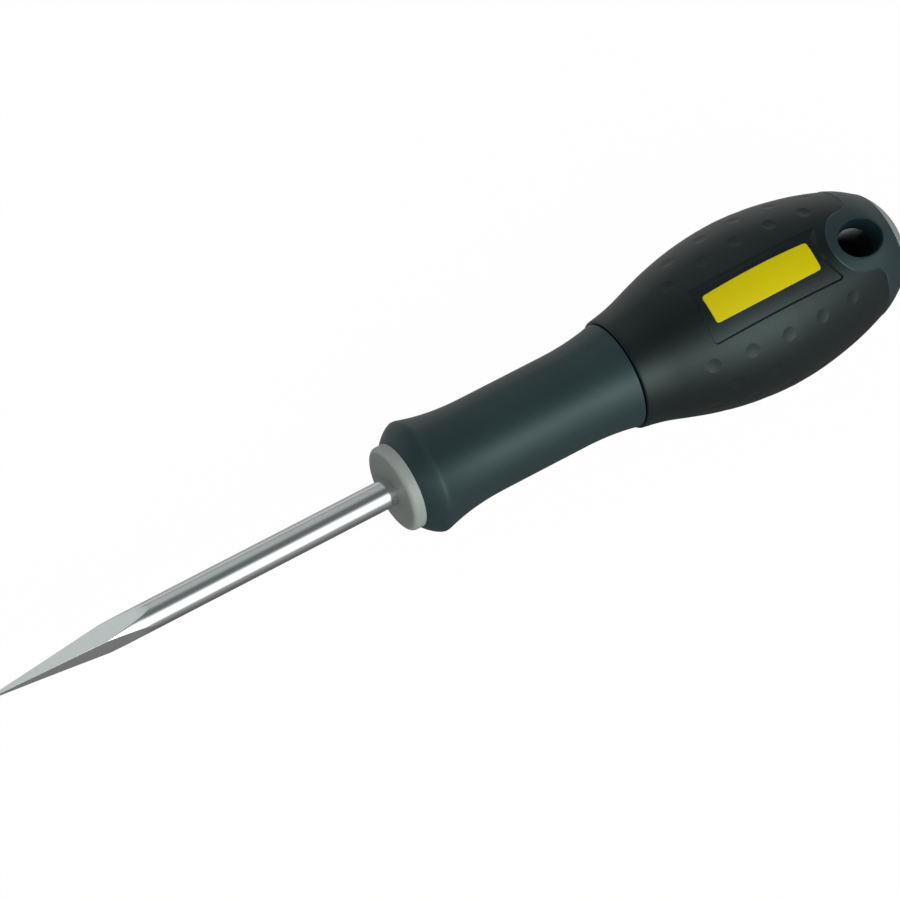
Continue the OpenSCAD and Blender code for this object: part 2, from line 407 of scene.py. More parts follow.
def gridPoints(x0, x1, dx, ds):
    # staggered rows over the whole width of a half skin
    out = []
    for i, x in enumerate(np.arange(x0 + dx / 2, x1, dx)):
        shift = ds / 2 * (i % 2)
        out += [(x, s) for s in np.arange(-halfTurn + ds / 2 + shift, halfTurn - ds / 4, ds)]
    return out


class Wire:
    # A socket of a node tree, with the operators that the trees below use
    def __init__(self, tree, socket):
        self.tree, self.socket = tree, socket

    def node(self, kind, settings=None, inputs=None, out=0):
        made = self.tree.nodes.new(kind)
        for key, value in (settings or {}).items():
            if key == "stops":
                ramp = made.color_ramp.elements
                while len(ramp) < len(value):
                    ramp.new(0.5)
                for stop, (at, colour) in zip(ramp, value):
                    stop.position = at
                    stop.color = colour
            else:
                setattr(made, key, value)
        for key, value in (inputs or {}).items():
            if isinstance(value, Wire):
                self.tree.links.new(value.socket, made.inputs[key])
            else:
                made.inputs[key].default_value = value
        return Wire(self.tree, made.outputs[out])

    def part(self, name):
        return Wire(self.tree, self.socket.node.outputs[name])

    def math(self, operation, *values):
        return self.node("ShaderNodeMath", {"operation": operation}, dict(enumerate(values)))

    def vector(self, operation, inputs=None):
        return self.node("ShaderNodeVectorMath", {"operation": operation}, {0: self, **(inputs or {})})

    def abs(self):
        return self.math("ABSOLUTE", self)

    def __add__(self, other):
        return self.math("ADD", self, other)

    __radd__ = __add__

    def __sub__(self, other):
        return self.math("SUBTRACT", self, other)

    def __rsub__(self, other):
        return self.math("SUBTRACT", other, self)

    def __mul__(self, other):
        return self.math("MULTIPLY", self, other)

    __rmul__ = __mul__

    def clamp(self):
        return self.node("ShaderNodeClamp", None, {"Value": self})

    def mix(self, low, high):
        return self.node("ShaderNodeMix", {"data_type": "RGBA"}, {0: self, 6: low, 7: high}, 2)


class Solid:
    # Gathers points and faces, and turns them into one closed mesh
    def __init__(self):
        self.points, self.faces, self.count = [], [], 0

    def add(self, points, faces, flip=False, mirror=False):
        points = np.array(points, float)
        if mirror:
            points = points * (1, 1, -1)
            flip = not flip
        first = self.count
        self.points.append(points)
        self.count += len(points)
        for f in faces:
            ids = [first + int(i) for i in f]
            self.faces.append(ids[::-1] if flip else ids)

    def finish(self, name):
        weld, thin = 1e-6, 1e-8  # metres
        mesh = bpy.data.meshes.new(name)
        mesh.from_pydata((np.concatenate(self.points) * mm).tolist(), [], self.faces)
        bm = bmesh.new()
        bm.from_mesh(mesh)
        bmesh.ops.remove_doubles(bm, verts=bm.verts, dist=weld)
        bmesh.ops.dissolve_degenerate(bm, edges=bm.edges, dist=thin)
        bad = [len(e.link_faces) for e in bm.edges if len(e.link_faces) != 2]
        bm.to_mesh(mesh)
        bm.free()
        obj = bpy.data.objects.new(name, mesh)
        bpy.context.scene.collection.objects.link(obj)
        print(name, "faces", len(mesh.polygons), "open or shared edges", len(bad), sorted(set(bad)))
        return obj


def shadeSmooth(obj, angle):
    obj.data.shade_smooth()
    obj.data.set_sharp_from_angle(angle=math.radians(angle))


def strip(solid, upper, lower, closed, mirror, flip=False, skip=()):
    # One wall between two rows of points of the same count
    n = len(upper)
    faces = []
    for k in range(n if closed else n - 1):
        if k in skip:
            continue
        j = (k + 1) % n
        faces.append((k, n + k, n + j, j))
    solid.add(np.concatenate([upper, lower]), faces, flip=flip, mirror=mirror)


def sideRun(x0, x1, gap):
    return np.linspace(x0, x1, max(2, int(round((x1 - x0) / gap)) + 1))


def crossRow(x, across):
    # an open row of points across a half skin, without its two ends
    return np.array([(x, s) for s in across[1:-1]]), False


def roundRows(radius, angles=(15, 32, 50, 70, 90)):
    # how far in from its edge each row of a rounding lies
    return [radius * (1 - math.cos(math.radians(a))) for a in angles]


dimples = {
    "Radius": 1.3,
    "Depth": 0.14,
    "First": 56.7,
    "Pitch": 7.0,
    "Count": 5,
    "Rows": 6,
    "First Turn": 36.25,  # degrees from the top to the first row
    "Row Turn": 21.5,
    "Reach": 30.0,
}
# Rings of points in each dimple: share of its radius, number of points
dotRingShares = ((0.25, 8), (0.5, 14), (0.72, 20), (0.88, 28), (1.0, 32), (1.12, 34))


def dimplePlaces(low):
    # Where the mesh needs points for the tree's dimples, on one half of the handle
    places = []
    for row in range(dimples["Rows"]):
        turn = dimples["First Turn"] + dimples["Row Turn"] * row
        if (turn > 90) == low:
            for k in range(dimples["Count"]):
                x = dimples["First"] + dimples["Pitch"] * (k + row % 2 / 2)
                places += [(x, side * math.radians(180 - turn if low else turn)) for side in (-1, 1)]
    return places


def makeDimpleTree():
    # Rows of points are dropped onto the skin, and the skin is pressed in round each
    tree = bpy.data.node_groups.new("dimpleRows", "GeometryNodeTree")
    kinds = {"Skin": "Geometry", "Count": "Int", "Rows": "Int", "Finish": "Material"}
    for name in ["Skin"] + list(dimples) + ["Finish"]:
        kind = "NodeSocket" + kinds.get(name, "Float")
        tree.interface.new_socket(name=name, in_out="INPUT", socket_type=kind)
    tree.interface.new_socket(name="Skin", in_out="OUTPUT", socket_type="NodeSocketGeometry")
    sockets = tree.nodes.new("NodeGroupInput").outputs
    given = {socket.name: Wire(tree, socket) for socket in sockets if socket.name}
    skin, count, rows = given["Skin"], given["Count"], given["Rows"]
    index = skin.node("GeometryNodeInputIndex")
    column = index.math("MODULO", index, count)
    line = index.math("DIVIDE", index - column, count)
    row = line.math("MODULO", line, rows)
    side = 1 - 2 * line.math("DIVIDE", line - row, rows)
    turn = side * (given["First Turn"] + given["Row Turn"] * row)
    place = skin.node("ShaderNodeCombineXYZ", None, {
        "X": given["First"] + given["Pitch"] * (column + 0.5 * row.math("MODULO", row, 2.0)),
        "Y": given["Reach"] * turn.math("SINE", turn),
        "Z": given["Reach"] * turn.math("COSINE", turn)})
    dots = skin.node("GeometryNodeMeshLine", None, {"Count": 2 * count * rows})
    dots = dots.node("GeometryNodeSetPosition", None, {"Geometry": dots, "Position": place})
    here = skin.node("GeometryNodeInputPosition")
    out = here.vector("MULTIPLY", {1: (0, 1, 1)}).vector("NORMALIZE")
    back = out.vector("MULTIPLY", {1: (-1, -1, -1)})
    hit = skin.node("GeometryNodeRaycast", None, {"Target Geometry": skin, "Source Position": here,
                                                  "Ray Direction": back, "Ray Length": given["Reach"]})
    landed = hit.part("Hit Position")
    dots = dots.node("GeometryNodeSetPosition", None, {"Geometry": dots, "Position": landed})
    near = skin.node("GeometryNodeProximity", {"target_element": "POINTS"}, {0: dots}).part("Distance")
    share = near.math("DIVIDE", near, given["Radius"])
    dent = given["Depth"] * (1 - share * share).clamp()
    facing = skin.node("GeometryNodeInputNormal").vector("DOT_PRODUCT", {1: out}).part("Value")
    outer = facing.math("GREATER_THAN", facing, 0.3)  # not the skin's inner side
    press = back.vector("SCALE", {"Scale": dent})
    skin = skin.node("GeometryNodeSetPosition", None,
                     {"Geometry": skin, "Offset": press, "Selection": outer})
    skin = skin.node("GeometryNodeRealizeInstances", None, {"Geometry": skin})
    skin = skin.node("GeometryNodeSetMaterial", None, {"Geometry": skin, "Material": given["Finish"]})
    tree.links.new(skin.socket, tree.nodes.new("NodeGroupOutput").inputs["Skin"])
    return tree


def makePlain(obj):
    # What the modifiers give becomes the piece's own mesh
    bpy.context.view_layer.update()
    done = bpy.data.meshes.new_from_object(obj.evaluated_get(bpy.context.evaluated_depsgraph_get()))
    obj.modifiers.clear()
    obj.data = done


def runTree(obj, tree, values):
    change = obj.modifiers.new(tree.name, "NODES")
    change.node_group = tree
    for socket in tree.interface.items_tree:
        if socket.in_out == "INPUT" and socket.name in values:
            change[socket.identifier] = values[socket.name]
    makePlain(obj)


# Steps between the points of the skins' meshes in millimetres, along and across
net = {
    "across": 81,  # points across a half skin
    "grip": (0.6, 0.5),
    "neck": 0.5,
    "neckFrom": 6.8,
    "hidden": (1.5, 1.2),
    "ring": (0.4, 0.4),
    "ringFrom": 83.5,
    "inside": (2.0, 1.5),
}


def makeGrip():
    solid = Solid()
    x0 = h["gripAt"]
    across = np.linspace(-halfTurn, halfTurn, net["across"])
    along = sideRun(x0, h["gripEnd"], net["grip"][0])
    lip = [x0 + d for d in roundRows(h["lipRound"], (12, 25, 40, 55, 72, 90))]
    for low in (False, True):
        boundary = [(x0, s) for s in across]
        boundary += [(x, halfTurn) for x in along[1:-1]]
        start = len(boundary)
        boundary += [tuple(p) for p in window]
        stop = len(boundary) - 1
        boundary += [(x, -halfTurn) for x in along[-2:0:-1]]
        rings = [crossRow(x, across) for x in lip]
        r = hole["windowRound"]
        rings += [(offsetLine(window, d)[1:-1], False) for d in roundRows(r)]
        if not low:
            for share in wallRowShares:
                rings.append((offsetLine(panelEdge, -share * panel["wall"], True), True))
        centres = dimplePlaces(low)
        dots = []
        for x, angle in centres:
            wide = spread / float(bellyRadius(x))
            dots.append((x, spread * angle))
            for share, count in dotRingShares:
                for k in range(count):
                    a = 2 * math.pi * (k + 0.5 * share) / count
                    dots.append((x + share * dimples["Radius"] * math.cos(a),
                                 spread * angle + share * dimples["Radius"] * wide * math.sin(a)))
        scatter = []
        far = dotRingShares[-1][0] * dimples["Radius"] + 0.2
        for x, s in gridPoints(x0 + 0.7, h["gripEnd"], *net["grip"]):
            k = float(bellyRadius(x)) / spread
            if all((x - cx) ** 2 + ((s - spread * ca) * k) ** 2 > far ** 2 for cx, ca in centres):
                scatter.append((x, s))
        flat, faces, places = triangulate(boundary, rings=rings, scatter=dots + scatter, clear=0.12)
        belly = bellyRadius(flat[:, 0])
        outer = belly - rounding(distanceTo(window, flat), r) - rounding(flat[:, 0] - x0, h["lipRound"])
        if not low:
            sunk = distanceTo(panelEdge, flat, True) * np.where(insideLoop(panelEdge, flat), 1, -1)
            soft = 1 + panel["soften"] * np.clip((flat[:, 1] - panel["softFrom"]) / panel["softOver"], 0, 1)
            t = np.clip(sunk / (panel["wall"] * soft), 0, 1)
            outer -= panel["depth"] * t * t * (3 - 2 * t)
        inner = belly - h["gripWall"]
        top, under = roll(flat, outer), roll(flat, inner)
        solid.add(top, faces, mirror=low)
        solid.add(under, faces, flip=True, mirror=low)
        loop = places[0]
        sides = [k for k in range(len(loop)) if len(across) - 1 <= k < start or k >= stop]
        strip(solid, top[loop], under[loop], True, low, skip=set(sides))
    grip = solid.finish("grip")
    values = {name: size * mm if name in ("Radius", "Depth", "First", "Pitch", "Reach") else size
              for name, size in dimples.items()}
    for name in ("First Turn", "Row Turn"):
        values[name] = math.radians(values[name])
    runTree(grip, makeDimpleTree(), dict(values, Finish=materials["black"]))
    return grip


def makeShell():
    solid = Solid()
    x0, x1 = h["collarLength"], h["capAt"]
    across = np.linspace(-halfTurn, halfTurn, net["across"])
    behind = h["neckLength"] + h["seat"]
    along = np.concatenate([sideRun(x0, h["neckLength"], net["neck"]), [behind],
                            sideRun(h["gripAt"], h["gripEnd"], net["hidden"][0]),
                            sideRun(h["gripEnd"] + net["ring"][0], x1, net["ring"][0])])
    foot = boreLoop(len(mouth))
    for low in (False, True):
        boundary = [(x0, s) for s in across]
        boundary += [(x, halfTurn) for x in along[1:-1]]
        boundary += [(x1, s) for s in across[::-1]]
        boundary += [(x, -halfTurn) for x in along[-2:0:-1]]
        flare = list(neckLine[1:flareSteps + 1, 0])
        crest = [h["rimAt"] + q for q in (0.12, 0.25, 0.4, 0.6, 0.85, 1.1)]
        seam = [h["neckLength"] - q for q in (0.16, 0.1, 0.05, 0.02, 0)]
        rings = [crossRow(x, across) for x in flare + crest + seam + [behind, h["gripAt"]]]
        for d in (0.02, 0.0, -0.03, -0.06, -0.1, -0.15, -0.2, -hole["ringRise"], -0.3):
            rings.append((offsetLine(window, d)[1:-1], False))
        r = hole["mouthRound"]
        rings += [(offsetLine(mouth, d, True), True) for d in roundRows(r)]
        necks = np.arange(net["neckFrom"], h["neckLength"] - net["neck"], net["neck"])
        scatter = [(x, s) for x in necks for s in across[1:-1]]
        scatter += gridPoints(h["gripAt"] + 0.5, net["ringFrom"], *net["hidden"])
        scatter += gridPoints(net["ringFrom"], x1 - 0.2, *net["ring"])
        flat, faces, places = triangulate(boundary, [mouth], rings, scatter, 0.2)
        shown = insideLoop(openLoop, flat)
        gap = distanceTo(window, flat)
        belly = bellyRadius(flat[:, 0])
        isNeck = flat[:, 0] <= h["neckLength"] + touch
        outer = np.where(isNeck, neckRadius(flat[:, 0]), belly - h["gripWall"] - h["seat"])
        full = belly - rounding(distanceTo(mouth, flat, True), r)
        fade = np.clip((hole["ringFadeTo"] - flat[:, 0]) / hole["ringFade"], 0, 1)
        lift = np.clip(gap / hole["ringRise"], 0, 1) * fade
        full += hole["ringProud"] * lift * lift * (3 - 2 * lift)
        outer = np.where((shown | (gap < touch)) & (flat[:, 0] > h["gripAt"] + 1), full, outer)
        top = roll(flat, outer)
        solid.add(top, faces, mirror=low)
        rim = top[places[1]]
        footPoints = roll(foot, np.full(len(foot), h["coreRadius"]))
        rows = [rim + (footPoints - rim) * t for t in np.linspace(0, 1, 9)]
        for upper, lower in zip(rows, rows[1:]):
            strip(solid, upper, lower, True, low, flip=True)
        ledge = x1 - h["capRim"]
        steps = [h["gripAt"], h["gripAt"] + h["coreStep"], ledge - 0.01, ledge]
        lines = [crossRow(x, across) for x in steps]
        grid = gridPoints(x0 + 1, x1 - 3, *net["inside"])
        flatIn, facesIn, placesIn = triangulate(boundary, [foot], lines, grid, 0.4)
        radii = [h["stemRadius"]] * 2 + [h["coreRadius"]] * 2 + [h["capRadius"], h["capRadius"] - 0.001]
        inside = np.interp(flatIn[:, 0], [x0] + steps + [x1], radii)
        under = roll(flatIn, inside)
        solid.add(under, facesIn, flip=True, mirror=low)
        n = len(across)
        m = len(along)
        sides = [k for k in range(len(boundary)) if n - 1 <= k < n + m - 2 or k >= 2 * n + m - 3]
        strip(solid, top[places[0]], under[placesIn[0]], True, low, skip=set(sides))
    return solid.finish("shell")


def revolve(name, profile, count):
    solid = Solid()
    p = np.array(profile, float)
    rows = []
    for k in range(count):
        a = 2 * math.pi * k / count
        rows.append(np.stack([p[:, 0], p[:, 1] * math.sin(a), p[:, 1] * math.cos(a)], 1))
    for k in range(count):
        strip(solid, rows[(k + 1) % count], rows[k], False, False)
    return solid.finish(name)


blade = {
    "radius": 2.5,
    "reach": 78.3,
    "pointLength": 31.4,
    "tipHalf": 0.05,
    "hollow": 0.09,
    "turn": 21.1,
    "tangRadius": 2.2,
    "tangLength": 42.0,
    "wingHalf": 4.5,
    "wingThick": 1.0,
    "wingLength": 13.0,
    "cornerPower": 40.0,  # breaks the ground corners by a few hundredths, like honed steel
    "around": 192,
    "groundRows": 161,
    "groundPast": 1.0,
    "shankRows": (-40, -30, -20, -10, -5, -1, 0),
}


def makeBlade():
    # The bar is round, but no further out than the four ground flats; the tang behind has two wings
    b = blade
    count = b["around"]
    run = (b["pointLength"] + b["groundPast"]) * np.linspace(0, 1, b["groundRows"])
    xs = list(-b["reach"] + run) + list(b["shankRows"])
    angles = 2 * math.pi * np.arange(count) / count
    local = angles + math.radians(b["turn"] + 45)
    power = b["cornerPower"]
    width = (np.abs(np.cos(local)) ** power + np.abs(np.sin(local)) ** power) ** (1 / power)
    wing = b["tangLength"] - b["wingLength"]
    slope = b["wingHalf"] - b["tangRadius"]
    wings = [wing - slope, wing, b["tangLength"] - slope, b["tangLength"]]
    rows = []
    for x in xs:
        share = (x + b["reach"]) / b["pointLength"]
        sag = b["hollow"] * share * max(0, 1 - share)
        flat = b["tipHalf"] + (b["radius"] - b["tipHalf"]) * (share - sag)
        r = np.minimum(b["radius"], flat / width)
        rows.append(np.stack([np.full(count, x), r * np.sin(angles), r * np.cos(angles)], 1))
    for x in [0.0, 10] + wings:
        half = np.interp(x, wings, [b["tangRadius"], b["wingHalf"], b["wingHalf"], b["tangRadius"]])
        box = np.minimum(half / np.maximum(np.abs(np.sin(angles)), 1e-6),
                         b["wingThick"] / np.maximum(np.abs(np.cos(angles)), 1e-6))
        r = np.maximum(b["tangRadius"], box)
        rows.append(np.stack([np.full(count, x), r * np.sin(angles), r * np.cos(angles)], 1))
    solid = Solid()
    for near, far in zip(rows, rows[1:]):
        strip(solid, near, far, True, False, flip=True)
    solid.add(rows[0], [list(range(count))])
    solid.add(rows[-1], [list(range(count))], flip=True)
    return solid.finish("blade")


core = {
    "around": 160,
    "shoulderSteps": 16,
    "domeSteps": 30,
    "socket": 0.1,  # between the shank and the collar
    "faceRow": 0.6,
    "collarRows": (1.2, 1.6),
    "sideRows": (60, 70, 80, 86, 87, 88, 89, 90, 91, 92, 93, 94, 95, 95.8),
    "cutterAround": 128,
    "cutterReach": 20,
}


def makeCore():
    # One profile, turned round the axis: the pocket of the tang, the collar, the stem, the core and the cap
    front = -h["collarProud"]
    tang = blade["tangRadius"]
    stem, side, cap = (h[name] - h["seat"] for name in ("stemRadius", "coreRadius", "capRadius"))
    profile = [(blade["tangLength"], 0), (blade["tangLength"], tang), (front, tang),
               (front, blade["radius"] + core["socket"]),
               (front, h["collarRadius"] - h["collarShoulder"] - core["faceRow"])]
    for k in range(core["shoulderSteps"] + 1):
        a = math.radians(90 * k / core["shoulderSteps"])
        profile.append((front + h["collarRound"] * (1 - math.cos(a)),
                        h["collarRadius"] - h["collarShoulder"] * (1 - math.sin(a))))
    profile += [(x, h["collarRadius"]) for x in core["collarRows"] + (h["collarLength"],)]
    profile += [(h["collarLength"], stem), (h["gripAt"], stem), (h["gripAt"] + h["coreStep"], side)]
    profile += [(x, side) for x in core["sideRows"]]
    rim = h["capAt"] - h["capRim"] + h["seat"]
    profile += [(rim, side), (rim, cap), (h["capAt"], cap)]
    rise = h["length"] - h["capAt"]
    dome = (h["capRadius"] ** 2 + rise ** 2) / (2 * rise)
    for k in range(core["domeSteps"] + 1):
        r = cap * math.sin(math.radians(90 * (1 - k / core["domeSteps"])))
        profile.append((h["length"] - dome + math.sqrt(dome ** 2 - r * r), r))
    body = revolve("core", profile, core["around"])
    reach, bore = core["cutterReach"], hole["boreRadius"]
    outline = [(-reach, 0), (-reach, bore), (reach, bore), (reach, 0)]
    cutter = revolve("coreCutter", outline, core["cutterAround"])
    upright = Matrix.Rotation(math.pi / 2, 4, "Y")
    cutter.data.transform(Matrix.Translation((hole["boreAt"] * mm, 0, 0)) @ upright)
    cut = body.modifiers.new("bore", "BOOLEAN")
    cut.object = cutter
    cut.operation = "DIFFERENCE"
    cut.solver = "EXACT"
    makePlain(body)
    bpy.data.objects.remove(cutter)
    return body


label = {
    "front": 59.85,
    "length": 21.05,
    "width": 5.4,
    "side": 0.53,
    "thickness": 0.25,
    "round": 0.5,
    "edge": 0.08,
    "edgeRows": (0.01, 0.03, 0.055),
    "gap": 0.3,
    "grid": 0.6,
}


def makeLabel():
    plate = label
    solid = Solid()
    x0, x1 = plate["front"], plate["front"] + plate["length"]
    half = plate["width"] / 2
    plan = roundedLoop(x0, x1, plate["side"] - half, plate["side"] + half, plate["round"])
    loop = resample([toSkin(x, y) for x, y in plan], plate["gap"], True)
    rings = [(offsetLine(loop, -d, True), True) for d in plate["edgeRows"] + (plate["edge"],)]
    grid = gridPoints(x0, x1, plate["grid"], plate["grid"])
    flat, faces, places = triangulate(loop, rings=rings, scatter=grid, clear=0.2)
    floor = bellyRadius(flat[:, 0]) - panel["depth"]
    top = roll(flat, floor + plate["thickness"] - rounding(distanceTo(loop, flat, True), plate["edge"]))
    under = roll(flat, floor)
    solid.add(top, faces)
    solid.add(under, faces, flip=True)
    strip(solid, top[places[0]], under[places[0]], True, False)
    return solid.finish("labelPlate")


def newMaterial(name):
    material = bpy.data.materials.new(name)
    material.use_nodes = True
    tree = material.node_tree
    shader = tree.nodes["Principled BSDF"]
    start = Wire(tree, tree.nodes.new("ShaderNodeTexCoord").outputs["Object"])
    return material, tree, shader, start


def noise(at, scale, detail=3.0):
    return at.node("ShaderNodeTexNoise", None, {"Vector": at, "Scale": scale, "Detail": detail})


def stretched(at, scale):
    # noise drawn out by another scale along each axis
    return noise(at.node("ShaderNodeMapping", None, {"Vector": at, "Scale": scale}), 1.0)


def connect(tree, shader, name, wire):
    tree.links.new(wire.socket, shader.inputs[name])


def bumpOf(wire, height, distance):
    return wire.node("ShaderNodeBump", None, {"Height": height, "Distance": distance})


# Colours are linear and gleam tints the gloss. Sizes are in millimetres, but a bump's depth is in metres
steel = {"dark": (0.69, 0.70, 0.715, 1), "light": (0.82, 0.83, 0.84, 1), "ground": (0.96, 0.97, 0.975, 1),
         "roughness": 0.088, "cloud": 160, "drawn": (40, 2500, 2500), "grind": (3000, 300, 300),
         "groundFrom": 47.0, "groundFade": 2.5, "drawnRough": 0.05, "grindRough": 0.12,
         "groundRough": 0.02, "depth": 0.000002}
# collarGrey's face colour is painted shade on the collar's flat face
collarGrey = {"dark": (0.29, 0.308, 0.294, 1), "light": (0.31, 0.329, 0.314, 1), "gleam": (1, 1, 1, 1),
              "face": (0.2, 0.213, 0.203, 1), "faceRadius": 6.75, "rimWidth": 0.55, "faceDepth": 1.5,
              "faceFade": 0.5, "dullness": 0.14, "roughness": 0.38}
teal = {"dark": (0.0155, 0.0285, 0.0315, 1), "light": (0.0185, 0.034, 0.037, 1), "gleam": (0.8, 1, 1, 1),
        "roughness": 0.37}
softBlack = {"dark": (0.0029, 0.0047, 0.005, 1), "light": (0.0041, 0.0062, 0.0066, 1),
             "gleam": (0.8, 1, 0.97, 1), "roughness": 0.38}
deepHoleShade = (0.0015, 0.002, 0.002, 1)  # painted shade: what a wall deep in the hanging hole comes down to
grainRough = 0.08  # how far the moulded grain changes the roughness
labelYellow = {"dark": (0.56, 0.455, 0.002, 1), "light": (0.64, 0.525, 0.003, 1), "gleam": (1, 0.9, 0.3, 1),
               "roughness": 0.42}


def steelMaterial():
    # Fine draw lines along the shank, and grinding marks across the point
    material, tree, shader, at = newMaterial("brightSteel")
    cloud = noise(at, steel["cloud"])
    drawn, grind = stretched(at, steel["drawn"]), stretched(at, steel["grind"])
    along = at.node("ShaderNodeSeparateXYZ", None, {"Vector": at}).part("X")
    ground = ((along * -1.0 - steel["groundFrom"] * mm) * (1 / (steel["groundFade"] * mm))).clamp()
    drawnColour = cloud.mix(steel["dark"], steel["light"])
    connect(tree, shader, "Base Color", ground.mix(drawnColour, steel["ground"]))
    marks = ground * (grind * steel["grindRough"] + steel["groundRough"])
    connect(tree, shader, "Roughness", steel["roughness"] + drawn * steel["drawnRough"] + marks)
    shader.inputs["Metallic"].default_value = 1.0
    connect(tree, shader, "Normal", bumpOf(at, drawn + ground * grind * 2.0, steel["depth"]))
    return material


def wellShares(at, well):
    # Whether a place lies inside the hanging hole, and how much of the light reaches it there
    place = at.node("ShaderNodeSeparateXYZ", None, {"Vector": at})
    along = (place.part("X") - well["at"] * mm) * (1 / (well["halfLength"] * mm))
    across = place.part("Y") * (1 / (well["halfWidth"] * mm))
    inside = ((1.12 - (along * along + across * across)) * 20.0).clamp()
    high = place.part("Z") if well["oneSided"] else place.part("Z").abs()
    lit = ((high - well["dark"] * mm) * (1 / ((well["light"] - well["dark"]) * mm))).clamp()
    if well["oneSided"]:  # the light falls in from the -Y side, on the wall across
        lit = lit * (1 + across * 2.0).clamp() * (1 - (along - well["fadeAt"]) * well["fade"]).clamp()
    return inside, lit


# Painted shade inside the hanging hole: the walls grow dark with their depth, which is given as a height in
# millimetres. The bore's wall colour is painted light where the light falls in
boreWell = {"at": hole["boreAt"], "halfLength": hole["boreRadius"], "halfWidth": hole["boreRadius"],
            "light": 6.6, "dark": 0.5, "oneSided": True, "fadeAt": 0.3, "fade": 1.6,
            "wall": (0.62, 0.66, 0.66, 1)}
mouthWell = {"at": hole["mouthAt"], "halfLength": hole["mouthHalfLength"],
             "halfWidth": hole["mouthHalfWidth"], "light": 15.5, "dark": 7.0, "oneSided": False,
             "wall": (0.003, 0.03, 0.037, 1)}


def mouldedMaterial(name, look, grain=2600.0, depth=0.00001, specular=0.4, well=None):
    material, tree, shader, at = newMaterial(name)
    cloud = noise(at, 90)
    fine = noise(at, grain, 2.0)
    colour = cloud.mix(look["dark"], look["light"])
    rough = look["roughness"] - grainRough / 2 + fine * grainRough
    if "face" in look:  # the collar's flat face is duller than its rim, and its darker colour is painted shade
        place = at.node("ShaderNodeSeparateXYZ", None, {"Vector": at})
        y, z = place.part("Y"), place.part("Z")
        out = place.math("SQRT", y * y + z * z)
        rim = ((out - look["faceRadius"] * mm) * (1 / (look["rimWidth"] * mm))).clamp()
        ahead = 1 - ((place.part("X") - look["faceDepth"] * mm) * (1 / (look["faceFade"] * mm))).clamp()
        dullShadedFace = (1 - rim) * ahead
        colour = dullShadedFace.mix(colour, look["face"])
        rough = rough + dullShadedFace * look["dullness"]
    if well:
        # painted shade deep in the hanging hole, and painted light on the lit part of its wall
        inside, lit = wellShares(at, well)
        colour = inside.mix(colour, lit.mix(deepHoleShade, well["wall"]))
        rough = rough + inside * (1 - lit) * (1 - look["roughness"])
    connect(tree, shader, "Base Color", colour)
    connect(tree, shader, "Roughness", rough)
    shader.inputs["Specular IOR Level"].default_value = specular
    shader.inputs["Specular Tint"].default_value = look["gleam"]
    connect(tree, shader, "Normal", bumpOf(at, fine, depth))
    return material


materials = {
    "steel": steelMaterial(),
    "grey": mouldedMaterial("greyPlastic", collarGrey, specular=0.58, well=boreWell),
    "teal": mouldedMaterial("tealPlastic", teal, specular=0.45, well=mouthWell),
    "black": mouldedMaterial("blackSoft", softBlack, specular=0.51),
    "yellow": mouldedMaterial("yellowLabel", labelYellow, 1500.0, 0.000002),
}
print("materials made")


def settle(obj, material, angle, node):
    # the piece gets its finish and stands for its solid
    obj.data.materials.clear()
    obj.data.materials.append(materials[material])
    shadeSmooth(obj, angle)
    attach(obj, "root")
    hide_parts(node)


settle(makeBlade(), "steel", 30, "blade")
settle(makeCore(), "grey", 35, "core")
settle(makeShell(), "teal", 40, "handle_shell")
settle(makeGrip(), "black", 40, "soft_grip")
settle(makeLabel(), "yellow", 50, "label_plate")
print("pieces made")

studio = {
    "floorDrop": -15.7,
    "floorReach": 20000.0,
    "wallHeight": 3500.0,
    "floorWhite": 0.985,  # share of the floor that the camera sees as plain white
    "floorGleam": 0.9,  # the same share for what metal and gloss show, darker close to the tool by a painted shadow
    # painted shadow and light: brightness of the floor as metal and gloss show it, by the distance to the
    # side of the tool
    "paintedFloorShade": ((-1000, 0.38), (-150, 0.28), (-60, 0.2), (-26, 0.1), (-9, 0.05), (0, 0.09), (11, 0.34),
                  (60, 0.58), (110, 0.66), (200, 0.5), (1000, 0.35)),
    "nearReach": 1000,
    "fill": {"place": (-180, -60, 600), "aim": (30, 0, 0), "size": (900, 900), "power": 2.2},
    # brightness of the studio round the tool's axis, in degrees from straight up, -Y side negative
    "glow": ((-180, 0.3), (-96, 0.36), (-78, 0.88), (-58, 1.68), (-50, 2.75), (-42, 3.2), (-32, 2.8),
             (-24, 1.35), (-12, 0.54), (-4, 0.18), (20, 0.15), (32, 0.25), (44, 0.44), (60, 0.48),
             (84, 0.44), (110, 0.4), (180, 0.2)),
    "glowTop": 3.2,
    "tint": (0.93, 1.0, 0.98, 1),
    # what it is multiplied by, from straight past the point to straight past the butt
    "ends": ((-1.0, 0.32), (-0.45, 0.45), (-0.28, 0.56), (-0.14, 0.78), (-0.02, 1.12), (0.12, 1.2),
             (0.24, 1.1), (0.33, 0.95), (0.5, 0.72), (0.62, 0.58), (0.8, 0.4), (1.0, 0.34)),
    "endsTop": 1.2,
}


def rayShare(tree, camera, gleam):
    paths = tree.nodes.new("ShaderNodeLightPath")
    seen = Wire(tree, paths.outputs["Is Camera Ray"])
    shine = Wire(tree, paths.outputs["Is Glossy Ray"]) + Wire(tree, paths.outputs["Is Transmission Ray"])
    return seen * camera + shine * gleam


def splitXYZ(at):
    place = at.node("ShaderNodeSeparateXYZ", None, {0: at})
    return [place.part(name) for name in "XYZ"]


def rampOf(wire, stops, low, high, top=1.0):
    # a grey ramp over [low, high], its values given as shares of top
    share = (wire - low) * (1 / (high - low))
    table = [((at - low) / (high - low), (value / top, value / top, value / top, 1)) for at, value in stops]
    return share.node("ShaderNodeValToRGB", {"stops": table}, {"Fac": share})


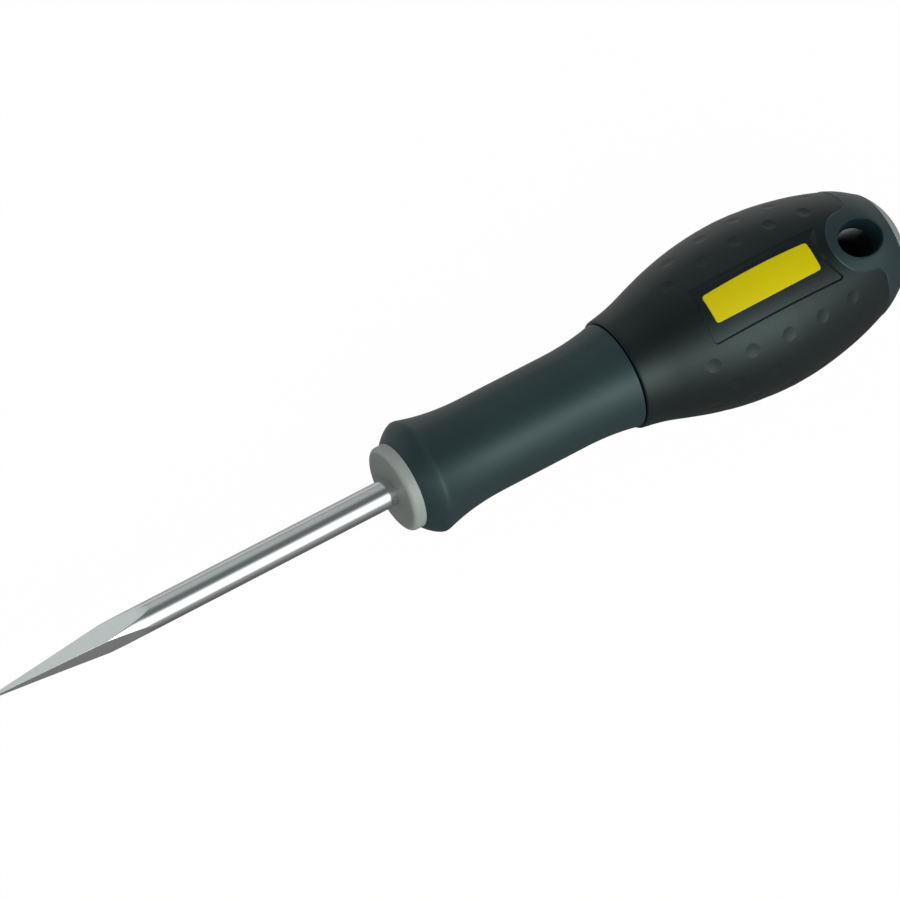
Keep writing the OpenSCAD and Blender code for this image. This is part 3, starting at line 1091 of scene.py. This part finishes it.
def makeWorld(scene):
    world = bpy.data.worlds.new("studio")
    scene.world = world
    world.use_nodes = True
    tree = world.node_tree
    at = Wire(tree, tree.nodes.new("ShaderNodeTexCoord").outputs["Generated"])
    x, y, z = splitXYZ(at)
    angle = y.math("ARCTAN2", y, z) * (180 / math.pi)
    glow = rampOf(angle, studio["glow"], -180, 180, studio["glowTop"])
    ends = rampOf(x, studio["ends"], -1, 1, studio["endsTop"])
    back = tree.nodes["Background"]
    back.inputs["Color"].default_value = studio["tint"]
    tree.links.new((glow * ends * (studio["glowTop"] * studio["endsTop"])).socket, back.inputs["Strength"])


def areaLight(name, spec):
    data = bpy.data.lights.new(name, "AREA")
    data.shape = "RECTANGLE"
    data.size = spec["size"][0] * mm
    data.size_y = spec["size"][1] * mm
    data.energy = spec["power"]
    light = bpy.data.objects.new(name, data)
    place = Vector(spec["place"]) * mm
    light.location = place
    light.rotation_euler = (Vector(spec["aim"]) * mm - place).to_track_quat("-Z", "Y").to_euler()
    light.visible_glossy = False
    bpy.context.scene.collection.objects.link(light)


def makeFloor(scene):
    reach = studio["floorReach"] * mm
    low = studio["floorDrop"] * mm
    high = low + studio["wallHeight"] * mm
    count = 48
    turns = [2 * math.pi * k / count for k in range(count)]
    ring = [(reach * math.cos(a), reach * math.sin(a)) for a in turns]
    points = [(x, y, low) for x, y in ring] + [(x, y, high) for x, y in ring]
    walls = [(k, count + k, count + (k + 1) % count, (k + 1) % count) for k in range(count)]
    mesh = bpy.data.meshes.new("floor")
    mesh.from_pydata(points, [], [tuple(range(count))] + walls)
    floor = bpy.data.objects.new("floor", mesh)
    scene.collection.objects.link(floor)
    material, tree, shader, at = newMaterial("paleFloor")
    shader.inputs["Base Color"].default_value = (0.8, 0.8, 0.8, 1)
    shader.inputs["Roughness"].default_value = 0.9
    shader.inputs["Specular IOR Level"].default_value = 0.0
    glow = tree.nodes.new("ShaderNodeEmission")
    side = studio["nearReach"]
    # painted shadow: the floor that metal and gloss see is darker close to the tool
    near = rampOf(splitXYZ(at)[1] * (1 / mm), studio["paintedFloorShade"], -side, side)
    seen = rayShare(tree, 1.0, 0.0)
    tree.links.new((seen + (1 - seen) * near).socket, glow.inputs["Strength"])
    mixer = tree.nodes.new("ShaderNodeMixShader")
    tree.links.new(rayShare(tree, studio["floorWhite"], studio["floorGleam"]).socket, mixer.inputs[0])
    tree.links.new(shader.outputs[0], mixer.inputs[1])
    tree.links.new(glow.outputs[0], mixer.inputs[2])
    tree.links.new(mixer.outputs[0], tree.nodes["Material Output"].inputs["Surface"])
    mesh.materials.append(material)


def makeStudio():
    scene = bpy.context.scene
    scene.view_settings.view_transform = "Standard"
    makeWorld(scene)
    makeFloor(scene)
    areaLight("fill", studio["fill"])


makeStudio()
print("studio set")
